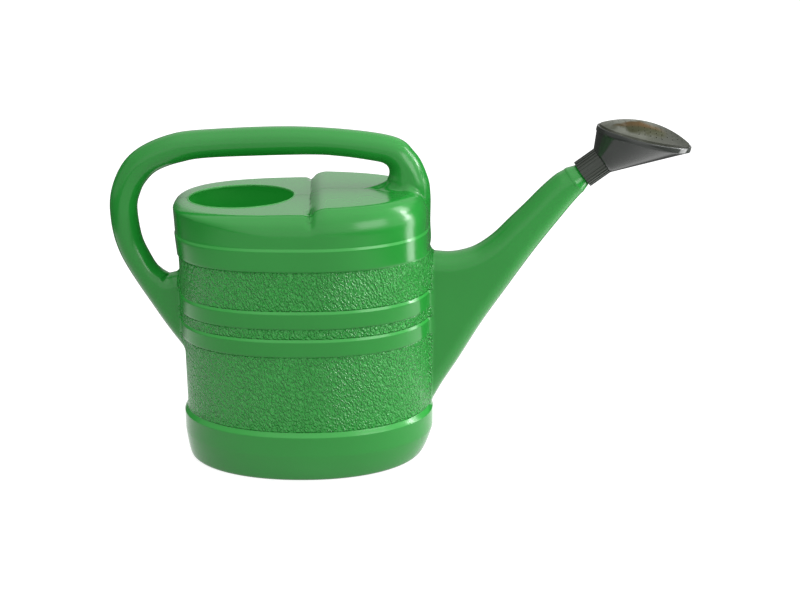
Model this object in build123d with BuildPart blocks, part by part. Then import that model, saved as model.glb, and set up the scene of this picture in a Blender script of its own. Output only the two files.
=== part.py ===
from build123d import *
import os
from math import cos, radians, sin

# A garden watering can that holds about ten litres. Millimetres, +Z up, +X towards the spout.
# The origin is the middle of the base, on the surface that the can stands on, and the can is
# symmetric about Y = 0. The tank, the loop handle and the spout are one hollow blow-moulding;
# here they are solids that meet face to face, with their hollows open to each other: the handle,
# the spout, and the tank in three lengths, which are its foot, its wall and its top.
# The rose is a ribbed collar that is pushed over the spout's neck, a funnel and a domed face.

# Tank: an upright oval vessel with raised bands round it
wall = 2.0                    # thickness of the blow-moulding, everywhere
tank_length = 262.0           # over the grained wall, along X
tank_width = 184.0            # over the grained wall, along Y
foot_height = 51.2            # smooth foot band
foot_step = 2.5               # how far the foot stands out from the grained wall
foot_bevel = 5.0              # height of the slope above the foot
foot_taper = 5.0              # how far the foot draws in towards the base
taper_height = 24.0           # height over which it does so
foot_round = 12.0             # rounding where the foot turns under
lower_band = 138.7            # underside of the lower of the two middle bands
band_height = 19.2
band_gap = 10.6               # grained strip between the two
band_step = 1.25              # how far the middle bands stand out
band_bevel = 1.5              # height of the slopes at a band's edges
collar_band = 229.2           # underside of the smooth band under the shoulder
collar_height = 23.2
collar_step = 2.1             # how far that band stands out at the sides
rear_overhang = 4.7           # how far the shoulder stands out at the tank's rear end
front_setback = 1.8           # and how far it is set back at the front end
ledge = 0.8                   # small step from that band in to the shoulder
shoulder_height = 31.3        # from there up to the lower half of the deck, behind
deck_step = 8.5               # how much higher the front half of the deck is
shoulder_round = 13.0
step_at = 3.0                 # where the step between the two halves begins, from the middle
step_run = 16.0               # length of the slope of that step

# Filling hole
hole_width = 93.4
hole_margin = 11.1            # from the tank's rear end to the hole
hole_gap = 13.9               # from the hole to the step
lip_width = 2.4
lip_height = 0.8

# Loop handle: a ring in the Y = 0 plane, whose lower part lies inside the tank and is cut away.
# Its edges are smooth closed curves through these points. Along the front leg a point is given
# as (back from the leg, down from the grip), and elsewhere as (forwards from the loop's
# rearmost place, down from the grip).
grip = 29.0                   # thickness of the handle across Y and over most of the loop
grip_round = 13.5             # rounding of its edges
hand_room = 35.2              # clear height over the raised deck
loop_reach = 71.6             # how far the loop stands out behind the tank
leg_width = 43.0              # front leg, along X
leg_proud = 0.3               # how far the leg stands out from the grained wall's front end
leg_outer = [(11, 141.4), (0, 124.4), (0, 98.4), (0, 71.4), (3.4, 51.4), (16.1, 27), (43.4, 8.9)]
rear_outer = [(107, 2.7), (63.9, 8.7), (27, 26.5), (6.8, 54.5), (0, 89.4), (8.5, 135.4)]
rear_outer += [(41.7, 195), (68.2, 235.3), (95, 266)]
leg_inner = [(9.6, 34.9), (1.6, 24.8), (0, 16.4), (4.2, 10), (14.7, 6.7), (50.5, 2)]
rear_inner = [(79.9, 3.4), (47.2, 8), (23.2, 16.6), (10.1, 28.7), (3.3, 41.2), (0, 57.4)]
rear_inner += [(2.8, 86.7), (10.2, 106.3), (18, 119.4), (29.8, 127.8), (40.5, 125.5)]

# Spout
spout_reach = 156.9           # from the tank's front end to the shoulder of the neck
spout_rise = 306.9            # height of that shoulder's middle
neck_angle = 36.6             # slope of the neck above level
fin_middle = 138.5            # height of the fin's middle at the tank's wall
spout_end = 30.2              # diameter at the end of the spout
# Sections between the two: share of the way out and up, height, width and lean of each
spout_sections = [
    (-0.087, -0.093, 206.5, 38.0, 0.0),
    (0.127, 0.102, 139.6, 37.0, 0.0),
    (0.293, 0.258, 97.2, 36.0, 3.5),
    (0.446, 0.420, 71.2, 35.0, 8.1),
    (0.626, 0.625, 51.5, 33.5, 18.1),
    (0.786, 0.806, 41.6, 32.0, 25.6),
    (0.909, 0.936, 35.9, 31.0, 31.9),
]
cone_length = 9.3             # taper from there down to the neck's shoulder
shoulder_end = 23.6           # diameter at the small end of the taper
slot_flat = 0.6               # straight sides left at the round end of the spout
neck_radius = 11.0
neck_length = 21.0
neck_bore = 9.2

# Rose
fit_gap = 0.05                # clearance all round between the neck and the collar
collar_length = 24.5
collar_radius = 14.3
rib_count = 26
rib_width = 1.5
rib_height = 0.7
rose_wall = 1.8
rose_reach = 45.4             # along the neck's axis, from the collar's end to the rim
rose_drop = 8.0               # how far the rim's middle lies under that axis
face_lean = 41.0              # the face's normal above the neck's axis
rim_length = 99.6
rim_width = 78.0
rim_height = 5.6
rim_lip = 0.8                 # how far the rim stands out from the funnel
dome_height = 14.0
dome_edge = 2.0               # upright edge that the dome rises from
dome_wall = 1.6
dome_margin = 1.2             # flat edge round the dome
seat_depth = 2.4              # how deep the face sits in the rim
seat_gap = 0.1                # clearance round the face's edge
jet_radius = 0.7              # the small holes in the face
jet_pitch = 6.0
jet_margin = 6.0              # plain edge round the field of holes

# Places that follow from the sizes above
tank_front = tank_length / 2
tank_rear = -tank_length / 2
top_half_length = (tank_length + rear_overhang - front_setback) / 2
top_half_width = tank_width / 2 + collar_step - ledge
top_middle = -(rear_overhang + front_setback) / 2
upper_band = lower_band + band_height + band_gap
ledge_height = collar_band + collar_height
deck_height = ledge_height + shoulder_height
raised_height = deck_height + deck_step
hole_length = step_at - hole_gap - tank_rear - hole_margin
hole_centre = tank_rear + hole_margin + hole_length / 2
grip_under = raised_height + hand_room
grip_top = grip_under + grip
leg_front = tank_front + leg_proud
leg_back = leg_front - leg_width

# Planes square to the neck's axis at the neck's shoulder and at the collar's end, and the rim's
# plane. Their local x lies in the Y = 0 plane, pointing down and forwards.
axis_x, axis_z = cos(radians(neck_angle)), sin(radians(neck_angle))
neck_plane = Plane(
    origin=(tank_front + spout_reach, 0, spout_rise),
    x_dir=(axis_z, 0, -axis_x),
    z_dir=(axis_x, 0, axis_z),
)
collar_end = neck_plane.offset(collar_length)
rim_angle = radians(neck_angle + face_lean)
rim_plane = Plane(
    origin=collar_end.from_local_coords((rose_drop, 0, rose_reach)),
    x_dir=(sin(rim_angle), 0, -cos(rim_angle)),
    z_dir=(cos(rim_angle), 0, sin(rim_angle)),
)
seat_length = rim_length - 2 * (rim_lip + rose_wall / 2)
seat_width = rim_width - 2 * (rim_lip + rose_wall / 2)
face_plane = rim_plane.offset(rim_height)


def tank_levels():
    """Height, middle, half length and half width of the wall at each of its edges."""
    half_length, half_width = tank_length / 2, tank_width / 2

    def level(height, step):
        return height, 0, half_length + step, half_width + step

    levels = [level(0, foot_step - foot_taper), level(taper_height, foot_step)]
    levels += [level(foot_height, foot_step), level(foot_height + foot_bevel, 0)]
    for band in (lower_band, upper_band):
        top = band + band_height
        levels += [level(band, 0), level(band + band_bevel, band_step)]
        levels += [level(top - band_bevel, band_step), level(top, 0)]
    levels.append(level(collar_band, 0))
    collar = (top_middle, top_half_length + ledge, top_half_width + ledge)
    levels += [(collar_band + band_bevel, *collar), (ledge_height - ledge, *collar)]
    levels.append((ledge_height, top_middle, top_half_length, top_half_width))
    return levels


def deck_block(height, inset):
    """The shoulder and one height of deck, as a block with a rounded upper edge."""
    with BuildPart() as block:
        with BuildSketch(Plane((top_middle, 0, ledge_height))):
            Ellipse(top_half_length - inset, top_half_width - inset)
        extrude(amount=height - inset - ledge_height)
        fillet(block.faces().sort_by(Axis.Z)[-1].edges(), shoulder_round - inset)
    return block.part


def raised_block(inset):
    """The raised front half of the deck, cut off behind by its S-shaped slope."""
    whole = deck_block(raised_height, inset)
    foot = (step_at + inset, deck_height - inset)
    head = (foot[0] + step_run, raised_height - inset)
    with BuildPart() as block:
        add(whole)
        with BuildSketch(Plane.XZ):
            with BuildLine():
                Spline(foot, head, tangents=((1, 0), (1, 0)))
                Polyline(
                    head, (tank_length, head[1]), (tank_length, ledge_height), (foot[0], ledge_height), foot
                )
            make_face()
        extrude(amount=tank_width, both=True, mode=Mode.INTERSECT)
    return block.part


def tank_form(inset):
    """The tank as a closed form, drawn in by inset all round: 0 outside, the wall inside."""
    low, raised = deck_block(deck_height, inset), raised_block(inset)
    with BuildPart() as form:
        for height, middle, half_length, half_width in tank_levels():
            with BuildSketch(Plane((middle, 0, max(height, inset)))):
                Ellipse(half_length - inset, half_width - inset)
        loft(ruled=True)
        fillet(form.faces().sort_by(Axis.Z)[0].edges(), foot_round - inset)
        add(low)
        add(raised)
    return form.part


def moved(points, shift):
    """Points of a smooth closed curve, each moved square to it, by shift to its left."""
    curve = Edge.make_spline([Vector(x, y) for x, y in points], periodic=True)
    tangents = [curve % curve.param_at_point((x, y)) for x, y in points]
    return [(x - shift * t.Y, y + shift * t.X) for (x, y), t in zip(points, tangents)]


def handle_form(inset):
    """The loop as a closed ring, drawn in by inset all round."""
    rear = tank_rear - loop_reach
    outer = [(leg_front - back, grip_top - down) for back, down in leg_outer]
    outer.append((0, grip_top))
    outer += [(rear + ahead, grip_top - down) for ahead, down in rear_outer]
    outer += [(tank_rear / 4, foot_height), (tank_front * 3 / 4, fin_middle)]
    inner = [(leg_back - back, grip_under - down) for back, down in leg_inner]
    inner.append((0, grip_under))
    inner += [(rear + grip + ahead, grip_under - down) for ahead, down in rear_inner]
    inner.append((0, collar_band))
    with BuildPart() as ring:
        with BuildSketch(Plane.XZ):
            with BuildLine():
                Spline(*moved(outer, inset), periodic=True)
            make_face()
            with BuildLine():
                Spline(*moved(inner, -inset), periodic=True)
            make_face(mode=Mode.SUBTRACT)
        extrude(amount=grip / 2 - inset, both=True)
        fillet(ring.faces().filter_by(Axis.Y).edges(), grip_round - inset)
    return ring.part


def handle_hollow():
    """The hollow in the loop, which stops in front where the leg has come through the deck."""
    whole = handle_form(wall)
    with BuildPart() as hollow:
        add(whole)
        with BuildSketch(Plane((tank_front, 0, 0))):
            Rectangle(tank_length, tank_width)
        extrude(amount=raised_height - 2 * wall, mode=Mode.SUBTRACT)
    return hollow.part


def spout_form(inset, bore, length):
    """The spout from inside the tank to the end of its neck, drawn in by inset all round."""
    end = neck_plane.offset(-cone_length)
    with BuildPart() as form:
        last = (1, 1, spout_end, spout_end - slot_flat, neck_angle)
        for out, up, tall, wide, lean in spout_sections + [last]:
            turn = radians(lean)
            place = Plane(
                origin=(
                    tank_front + out * (end.origin.X - tank_front),
                    0,
                    fin_middle + up * (end.origin.Z - fin_middle),
                ),
                x_dir=(sin(turn), 0, -cos(turn)),
                z_dir=(cos(turn), 0, sin(turn)),
            )
            with BuildSketch(place):
                SlotOverall(tall - 2 * inset, wide - 2 * inset)
        loft()
        for place, size in ((end, spout_end), (neck_plane, shoulder_end)):
            with BuildSketch(place):
                SlotOverall(size - 2 * inset, size - slot_flat - 2 * inset)
        loft()
        with BuildSketch(neck_plane):
            Circle(bore)
        extrude(amount=length)
    return form.part


def jets():
    """Where the small holes go on the face: a square grid inside a plain oval edge."""
    half_length, half_width = seat_length / 2 - jet_margin, seat_width / 2 - jet_margin
    across, along = int(half_width // jet_pitch), int(half_length // jet_pitch)
    places = []
    for row in range(-across, across + 1):
        for column in range(-along, along + 1):
            x, y = column * jet_pitch, row * jet_pitch
            if (x / half_length) ** 2 + (y / half_width) ** 2 < 1:
                places.append((x, y))
    return places


def dome_cap(inset):
    """The rounded cap of the rose's face, drawn in by inset, on the face's own axis."""
    base = face_plane.origin
    half = seat_length / 2 - dome_margin - inset
    profile = Plane(origin=base, x_dir=rim_plane.x_dir, z_dir=(0, -1, 0))
    with BuildPart() as cap:
        with BuildSketch(profile):
            with BuildLine():
                crown, edge = (0, dome_height - inset), (half, dome_edge)
                low = (half, -seat_depth)
                ThreePointArc((-half, dome_edge), crown, edge)
                Polyline(edge, low, (-half, -seat_depth), (-half, dome_edge))
            make_face()
            Rectangle(2 * half, 4 * dome_height, align=(Align.MAX, Align.CENTER), mode=Mode.SUBTRACT)
        revolve(axis=Axis(base, rim_plane.z_dir))
        scale(by=(1, seat_width / seat_length, 1))
    return cap.part


def export(piece, name):
    piece.part.label = name
    export_step(piece.part, f"parts/{name}.step")


os.makedirs("parts", exist_ok=True)

# The forms that more than one piece is cut from
tank_outside, tank_inside = tank_form(0), tank_form(wall)
handle_outside, handle_inside = handle_form(0), handle_hollow()
spout_outside = spout_form(0, neck_radius, neck_length)
spout_inside = spout_form(wall, neck_bore, neck_length)

# The tank, open at the filling hole and into the handle and the spout
with BuildPart() as tank:
    add(tank_outside)
    with BuildSketch(Plane((hole_centre, 0, deck_height - wall))):
        Ellipse(hole_length / 2 + lip_width, hole_width / 2 + lip_width)
    extrude(amount=wall + lip_height)
    add(tank_inside, mode=Mode.SUBTRACT)
    with BuildSketch(Plane((hole_centre, 0, deck_height - 2 * wall))):
        Ellipse(hole_length / 2, hole_width / 2)
    extrude(amount=3 * wall, mode=Mode.SUBTRACT)
    add(handle_inside, mode=Mode.SUBTRACT)
    add(spout_inside, mode=Mode.SUBTRACT)

# Its three lengths, parted where the foot ends and where the shoulder begins
foot_end, shoulder_start = Plane.XY.offset(foot_height), Plane.XY.offset(ledge_height)
with BuildPart() as tank_foot:
    add(tank.part)
    split(bisect_by=foot_end, keep=Keep.BOTTOM)

with BuildPart() as tank_wall:
    add(tank.part)
    split(bisect_by=foot_end, keep=Keep.TOP)
    split(bisect_by=shoulder_start, keep=Keep.BOTTOM)

with BuildPart() as tank_top:
    add(tank.part)
    split(bisect_by=shoulder_start, keep=Keep.TOP)

# The loop handle, hollow, from the deck over to the tank's rear end
with BuildPart() as handle:
    add(handle_outside)
    add(handle_inside, mode=Mode.SUBTRACT)
    add(tank_outside, mode=Mode.SUBTRACT)

# The spout with its taper and neck
with BuildPart() as spout:
    add(spout_outside)
    add(spout_inside, mode=Mode.SUBTRACT)
    add(tank_outside, mode=Mode.SUBTRACT)

# The rose's collar, a ribbed tube pushed over the neck
with BuildPart() as rose_collar:
    with BuildSketch(neck_plane):
        Circle(collar_radius)
        with PolarLocations(collar_radius, rib_count):
            Rectangle(2 * rib_height, rib_width)
        Circle(neck_radius + fit_gap, mode=Mode.SUBTRACT)
    extrude(amount=collar_length)

# The rose's funnel, from the collar's end to the oval rim, with a rebate for the face
funnel_radius = collar_radius + rib_height
with BuildPart() as rose_funnel:
    with BuildSketch(collar_end):
        Circle(funnel_radius)
    with BuildSketch(rim_plane):
        Ellipse(rim_length / 2 - rim_lip, rim_width / 2 - rim_lip)
    loft()
    with BuildSketch(rim_plane):
        Ellipse(rim_length / 2, rim_width / 2)
    extrude(amount=rim_height)
    with BuildSketch(collar_end):
        Circle(funnel_radius - rose_wall)
    with BuildSketch(rim_plane):
        Ellipse(rim_length / 2 - rim_lip - rose_wall, rim_width / 2 - rim_lip - rose_wall)
    loft(mode=Mode.SUBTRACT)
    with BuildSketch(rim_plane):
        Ellipse(rim_length / 2 - rim_lip - rose_wall, rim_width / 2 - rim_lip - rose_wall)
    extrude(amount=rim_height, mode=Mode.SUBTRACT)
    with BuildSketch(rim_plane.offset(rim_height)):
        Ellipse(seat_length / 2 + seat_gap, seat_width / 2 + seat_gap)
    extrude(amount=-seat_depth, mode=Mode.SUBTRACT)

# The rose's face, a perforated dome whose flange sits in that rebate
outer_cap, inner_cap = dome_cap(0), dome_cap(dome_wall)
with BuildPart() as rose_face:
    with BuildSketch(face_plane):
        Ellipse(seat_length / 2, seat_width / 2)
    extrude(amount=-seat_depth)
    add(outer_cap)
    add(inner_cap, mode=Mode.SUBTRACT)
    with BuildSketch(face_plane.offset(2 * dome_height)):
        with Locations(jets()):
            Circle(jet_radius)
    extrude(amount=-3 * dome_height, mode=Mode.SUBTRACT)

export(tank_foot, "tank_foot")
export(tank_wall, "tank_wall")
export(tank_top, "tank_top")
export(handle, "handle")
export(spout, "spout")
export(rose_collar, "rose_collar")
export(rose_funnel, "rose_funnel")
export(rose_face, "rose_face")
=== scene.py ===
# %% [markdown]
# # A green garden watering can
# The real can is three pieces. One hollow blow-moulding of green polyethylene is the tank, the
# loop handle and the spout at once. A black rose is pushed on its neck, and a domed face with
# small holes sits in the rose. The frame below holds the measured solids of those pieces, and
# everything here is drawn in their place, in metres, with +X towards the spout and +Z up.

# %% Load the measured frame
import math

import bpy
import numpy as np
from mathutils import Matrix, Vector


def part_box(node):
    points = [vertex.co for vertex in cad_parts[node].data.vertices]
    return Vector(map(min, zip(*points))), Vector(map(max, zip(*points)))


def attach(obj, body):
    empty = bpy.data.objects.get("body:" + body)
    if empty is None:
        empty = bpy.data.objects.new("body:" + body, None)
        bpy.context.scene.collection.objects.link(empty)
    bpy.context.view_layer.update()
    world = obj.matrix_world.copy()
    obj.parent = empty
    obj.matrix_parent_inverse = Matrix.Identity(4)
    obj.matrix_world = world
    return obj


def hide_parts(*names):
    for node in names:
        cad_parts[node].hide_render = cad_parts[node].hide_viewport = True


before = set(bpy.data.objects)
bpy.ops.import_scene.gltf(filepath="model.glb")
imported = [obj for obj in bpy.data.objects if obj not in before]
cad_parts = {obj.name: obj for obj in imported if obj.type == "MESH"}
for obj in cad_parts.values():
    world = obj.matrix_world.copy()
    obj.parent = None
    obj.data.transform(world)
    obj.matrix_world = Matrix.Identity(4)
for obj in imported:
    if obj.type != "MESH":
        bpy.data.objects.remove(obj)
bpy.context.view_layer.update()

MM = 0.001
_, foot_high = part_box("tank_foot")
_, top_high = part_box("tank_top")
handle_low, handle_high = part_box("handle")
_, spout_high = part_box("spout")

# %% [markdown]
# ## Small helpers
# Every mesh below comes from numbers: a list of points and a list of faces. A helper turns them
# into an object with smooth shading that rides on its body of the frame, so that it moves with
# it. `smoothstep` is the soft switch from 0 to 1 that most shapes below use.


# %% Helpers
def add_object(name, data):
    """An object in the scene that holds the given data."""
    thing = bpy.data.objects.new(name, data)
    bpy.context.scene.collection.objects.link(thing)
    return thing


def make_piece(name, points, faces, body, slot):
    """A smooth mesh object that rides on a body; the slot is not used."""
    mesh = bpy.data.meshes.new(name)
    mesh.from_pydata(np.asarray(points, float).tolist(), [], np.asarray(faces).tolist())
    mesh.validate()
    mesh.shade_smooth()
    piece = add_object(name, mesh)
    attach(piece, body)
    print(name, len(mesh.vertices), "points", len(mesh.polygons), "faces")
    return piece


def smoothstep(low, high, value):
    """0 below low, 1 above high, with a soft start and end between."""
    share = np.clip((value - low) / (high - low), 0.0, 1.0)
    return share * share * (3.0 - 2.0 * share)


# %% [markdown]
# ## Camera
# The can stands on a table and is seen from a little above, by someone about one and a half
# metres away. That near, the top opens up and its far edge looks smaller than its near one. A
# lens of moderate length fills the picture from there.

# %% Camera
CAMERA_PLACE = (0.0995, -1.476, 0.6642)
CAMERA_DOWN = math.radians(18.52)
LENS, SENSOR = 65.86, 36.0

camera_data = bpy.data.cameras.new("camera")
camera_data.lens, camera_data.sensor_width = LENS, SENSOR
camera = add_object("camera", camera_data)
camera.location = CAMERA_PLACE
camera.rotation_euler = (math.pi / 2 - CAMERA_DOWN, 0.0, 0.0)
bpy.context.scene.camera = camera
print("camera", tuple(camera.location), "lens", camera_data.lens)

# %% [markdown]
# ## The moulding as a field of distances
# Tank, handle and spout flow into each other with soft fillets, because molten plastic was
# blown against one mould. Joining three meshes would leave hard seams. So each part is written
# as a signed distance, which is negative inside the plastic's outline and positive outside.
# Two distances join with a rounded union, which makes the fillet, and the skin is then drawn
# where the joined distance is zero. Metaballs would blend too, but they can't keep the crisp
# bands and the level deck.


# %% Rounded operations on distances
def round_union(first, second, radius):
    """Joins two solids with a fillet of that radius."""
    near = np.hypot(np.maximum(radius - first, 0.0), np.maximum(radius - second, 0.0))
    return np.maximum(radius, np.minimum(first, second)) - near


def round_corner(first, second, radius):
    """Where two solids overlap, with the outer edge rounded to that radius."""
    far = np.hypot(np.maximum(first + radius, 0.0), np.maximum(second + radius, 0.0))
    return np.minimum(np.maximum(first + radius, second + radius), 0.0) + far - radius


def oval_corner(wall, top, inward, down):
    """The same with an oval rounding, which reaches further one way than the other."""
    u, v = np.maximum(wall + inward, 0.0) / inward, np.maximum(top + down, 0.0) / down
    reach = np.hypot(u, v)
    slope = np.hypot(u / inward, v / down) / (reach + 1e-9)
    return np.where(reach > 1e-6, (reach - 1.0) / (slope + 1e-9), np.maximum(wall, top))


print("a fillet of 5 mm fills a corner by", round(-round_union(0.0, 0.0, 5 * MM), 5))

# %% [markdown]
# ### The tank: its oval at each height
# The section is an oval, so a height, a middle and two half widths say all of it. Up the wall
# that size changes in small steps: a foot, two middle bands and a band under the shoulder stand
# out from the grained panels. Each step has a short slope, which catches the light as a fine
# line. The foot draws in towards the base, slowly at first and then more and more. All of it
# is one list of levels, between which the sizes change evenly.

# %% Levels of the panels and bands
FOOT_STEP = 2.5 * MM
PANEL_LENGTH = foot_high.x - FOOT_STEP  # half length of the grained wall
PANEL_WIDTH = foot_high.y - FOOT_STEP  # half width of it
FOOT_TOP, FOOT_BEVEL = foot_high.z, 5 * MM
FOOT_AHEAD, WALL_AHEAD = 0.8 * MM, 0.6 * MM  # how far foot and lower wall sit forwards
BANDS = (138.7 * MM, 168.5 * MM)  # undersides of the two middle bands
BAND_HEIGHT, BAND_STEP, BAND_UNDER, BAND_BEVEL = 19.2 * MM, 1.25 * MM, 1.0 * MM, 2.8 * MM
FOOT_LENGTH, FOOT_WIDTH = PANEL_LENGTH + FOOT_STEP + FOOT_AHEAD, PANEL_WIDTH + FOOT_STEP

levels = [(FOOT_TOP, FOOT_AHEAD, FOOT_LENGTH, FOOT_WIDTH)]
for height in (FOOT_TOP + FOOT_BEVEL, BANDS[0]):
    levels.append((height, WALL_AHEAD, PANEL_LENGTH - WALL_AHEAD, PANEL_WIDTH))
steps = []
for low in BANDS:
    steps += [(low, 0.0), (low + BAND_UNDER, BAND_STEP)]
    steps += [(low + BAND_HEIGHT - BAND_BEVEL, BAND_STEP), (low + BAND_HEIGHT, 0.0)]
# The first of these steps is the top of the lower wall, which the list has already
levels += [(height, 0.0, PANEL_LENGTH + step, PANEL_WIDTH + step) for height, step in steps[1:]]
print("half length", round(PANEL_LENGTH, 4), "half width", round(PANEL_WIDTH, 4))

# %% Levels of the foot
TAPER_HEIGHT = 30.4 * MM  # the foot draws in below this height
FOOT_MIDDLE = -3.6 * MM  # middle of the base
FOOT_SHORTER, FOOT_NARROWER = 10.0 * MM, 7.8 * MM
STRAIGHT_SHARE = 0.53  # the rest of the taper is a quarter circle

for share in np.linspace(0.0, 1.0, 13):
    drawn_in = STRAIGHT_SHARE * share + (1.0 - STRAIGHT_SHARE) * (1.0 - math.sqrt(1.0 - share**2))
    middle = FOOT_AHEAD + (FOOT_MIDDLE - FOOT_AHEAD) * drawn_in
    size = (FOOT_LENGTH - FOOT_SHORTER * drawn_in, FOOT_WIDTH - FOOT_NARROWER * drawn_in)
    levels.insert(0, (TAPER_HEIGHT * (1.0 - share), middle, *size))
print("half sizes of the base", np.round(size, 4))

# %% Levels of the band under the shoulder
COLLAR_LOW, LEDGE_HEIGHT, LEDGE = 228.4 * MM, 253.2 * MM, 0.8 * MM
TOP_WIDTH, DECK_HEIGHT = 93.3 * MM, 283.8 * MM
BAND_WIDTH = TOP_WIDTH + LEDGE

# Up here the oval is given by how far it reaches to the rear and to the front, in millimetres
upper_levels = (
    (COLLAR_LOW, 131.6, 131.5, PANEL_WIDTH),
    (COLLAR_LOW + 1.5 * MM, 132.9, 130.6, BAND_WIDTH),
    (LEDGE_HEIGHT - 2.5 * MM, 134.6, 130, BAND_WIDTH),
    (LEDGE_HEIGHT, 133.9, 129.2, TOP_WIDTH),
    (DECK_HEIGHT, 135.2, 129.2, TOP_WIDTH),
)
for height, rear, front, width in upper_levels:
    levels.append((height, (front - rear) / 2 * MM, (front + rear) / 2 * MM, width))
LEVEL_HEIGHTS, LEVEL_MIDDLES, LEVEL_LENGTHS, LEVEL_WIDTHS = np.array(levels).T
print(len(levels), "levels up the wall")

# %% [markdown]
# ### The tank: deck and wall as distances
# The deck has two halves: a low one round the filling hole and a raised one in front of it. The
# step between them runs a little askew, and where it runs out over the shoulder the mould left
# a small valley. A height for every place of the plan says all of that. The wall's oval is a
# little fuller than an ellipse higher up, which one exponent in its formula gives, and the
# corner between deck and wall is rounder at the front than behind.


# %% Deck
DECK_SLOPE = 0.02
RAISED_HEIGHT = top_high.z
LOW_CROWN, RAISED_CROWN = 0.5 * MM, 1.5 * MM  # how much higher the middle is than the sides
STEP_AT, STEP_RUN, STEP_SKEW = 6.3 * MM, 17.5 * MM, 0.044
HOLE_MIDDLE, HOLE_LENGTH, HOLE_WIDTH = -65.4 * MM, 54.5 * MM, 47.4 * MM
NOTCH_DEPTH, NOTCH_HALF, NOTCH_AHEAD = 2.4 * MM, 3.4 * MM, 0.6 * MM


def from_step(x, y):
    """How far ahead of the start of the step a place is; the step runs a little askew."""
    return x - STEP_AT + STEP_SKEW * y


def deck_height(x, y):
    """Height of the deck: nearly level round the hole, then a step up to the crowned front."""
    low = DECK_HEIGHT + DECK_SLOPE * np.clip(x - HOLE_MIDDLE, -HOLE_LENGTH, HOLE_LENGTH)
    low = low - LOW_CROWN * (y / TOP_WIDTH) ** 2
    high = RAISED_HEIGHT - RAISED_CROWN * (y / TOP_WIDTH) ** 2
    raised = np.clip(from_step(x, y) / STEP_RUN, 0.0, 1.0)
    return low + (high - low) * raised * (2.0 - raised)


def shoulder_notch(x, y, z):
    """A small valley down the shoulder, where the step between the two halves runs out."""
    across = np.exp(-(((from_step(x, y) - NOTCH_AHEAD) / NOTCH_HALF) ** 2))
    height = smoothstep(-14 * MM, -3 * MM, z - DECK_HEIGHT)
    return NOTCH_DEPTH * across * height * smoothstep(58 * MM, 82 * MM, np.abs(y))


print("deck", round(DECK_HEIGHT, 4), "and", round(RAISED_HEIGHT, 4), "high")

# %% Wall
FOOT_ROUND = 1.5 * MM
LOW_FULLNESS, REAR_FULLER, FRONT_FULLER = 2.1, 0.52, 0.12


def oval_distance(x, y, middle, half_length, half_width, fullness):
    """Distance to an oval wall, close to exact near it; a fullness of 2 is an ellipse."""
    u, v = np.abs(x - middle) / half_length, np.abs(y) / half_width
    reach = (u**fullness + v**fullness) ** (1.0 / fullness) + 1e-9
    along = (u / reach) ** (fullness - 1.0) / half_length
    across = (v / reach) ** (fullness - 1.0) / half_width
    return (reach - 1.0) / (np.hypot(along, across) + 1e-9)


def wall_sizes(z):
    """Middle, half length and half width of the wall at a height."""
    return [np.interp(z, LEVEL_HEIGHTS, sizes) for sizes in (LEVEL_MIDDLES, LEVEL_LENGTHS, LEVEL_WIDTHS)]


def tank_distance(x, y, z):
    """The tank with its deck, its shoulder's oval rounding and its foot."""
    fuller = REAR_FULLER - (REAR_FULLER - FRONT_FULLER) * smoothstep(-50 * MM, 50 * MM, x)
    wall = oval_distance(x, y, *wall_sizes(z), LOW_FULLNESS + smoothstep(0.0, LEDGE_HEIGHT, z) * fuller)
    # How far the rounding of the shoulder reaches inwards and down, from the rear to the front
    inward = (15 + 4 * smoothstep(0.08, 0.12, x)) * MM
    down = (5 + 16 * smoothstep(-0.12, -0.02, x) + 6 * smoothstep(0.0, 0.04, x)) * MM
    body = oval_corner(wall, z - deck_height(x, y), inward, down) + shoulder_notch(x, y, z)
    return round_corner(body, -z, FOOT_ROUND)


print("deepest inside the tank", round(float(tank_distance(0.0, 0.0, DECK_HEIGHT / 2)), 4))

# %% [markdown]
# ### The handle and the spout
# Both are flat in plan: their outline lies in the can's middle plane, and their thickness
# across it is nearly constant with fully rounded edges. So the outline is drawn once as a
# smooth closed curve through a few points, its distance is kept as a chart over the middle
# plane, and the thickness is added to that.


# %% Smooth closed curves and their charts
def closed_curve(points):
    """A smooth closed curve through the given points (Catmull-Rom), ten steps for each."""
    points = np.array(points)
    before, after, later = np.roll(points, 1, 0), np.roll(points, -1, 0), np.roll(points, -2, 0)
    curve = []
    for share in np.arange(10) / 10:
        square = (2 * before - 5 * points + 4 * after - later) * share**2
        cube = (3 * points - before - 3 * after + later) * share**3
        curve.append(0.5 * (2 * points + (after - before) * share + square + cube))
    return np.stack(curve, 1).reshape(-1, 2)


CHART_STEP = 1.0 * MM
CHART_X = np.arange(handle_low.x - 0.01, spout_high.x + 0.02, CHART_STEP)
CHART_Z = np.arange(-0.01, handle_high.z + 0.012, CHART_STEP)


def outline_chart(outline):
    """Signed distance to a closed outline at each place of the chart, negative inside."""
    x, z = np.meshgrid(CHART_X, CHART_Z, indexing="ij")
    nearest = np.full(x.shape, np.inf)
    inside = np.zeros(x.shape, bool)
    for (ax, az), (bx, bz) in zip(outline, np.roll(outline, -1, 0)):
        ex, ez = bx - ax, bz - az
        share = np.clip(((x - ax) * ex + (z - az) * ez) / (ex * ex + ez * ez + 1e-18), 0.0, 1.0)
        nearest = np.minimum(nearest, np.hypot(x - ax - share * ex, z - az - share * ez))
        if az != bz:
            inside ^= ((az > z) != (bz > z)) & (x < ex * (z - az) / ez + ax)
    return np.where(inside, -nearest, nearest)


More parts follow.
